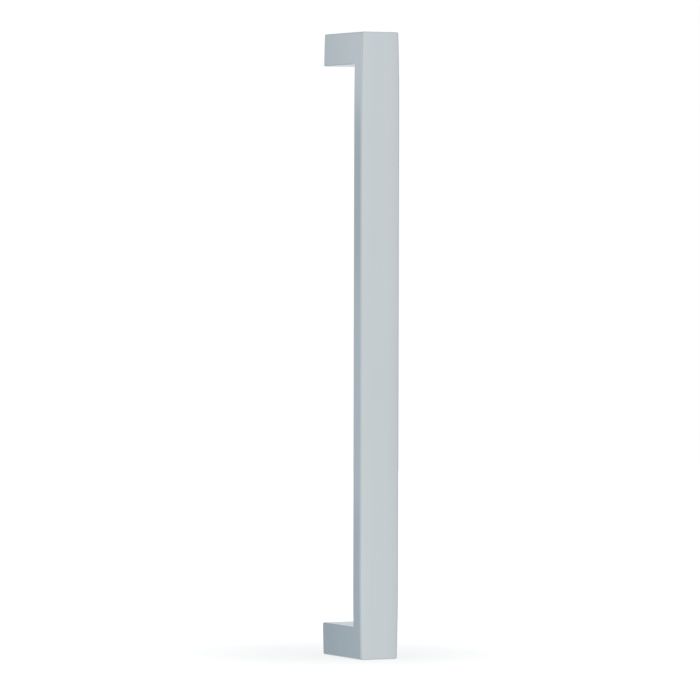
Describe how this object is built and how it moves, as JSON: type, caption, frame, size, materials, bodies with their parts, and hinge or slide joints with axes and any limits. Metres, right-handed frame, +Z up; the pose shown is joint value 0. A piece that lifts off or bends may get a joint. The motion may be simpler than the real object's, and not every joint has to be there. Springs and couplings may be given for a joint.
{
  "type": "appliance pull",
  "caption": "Flat-bar appliance door pull with full-width square legs, a satin chrome finish and blind tapped holes for screws from behind the door.",
  "frame": {"origin": "on the door face that the legs stand against, midway between the two screw holes", "axes": "+X to the right across the grip, +Y into the door, +Z up along the bar"},
  "size_m": [0.033, 0.067, 0.4822],
  "materials": {
    "satin_chrome": "satin"
  },
  "bodies": {
    "root": {"pull_body": "satin_chrome"}
  },
  "joints": []
}
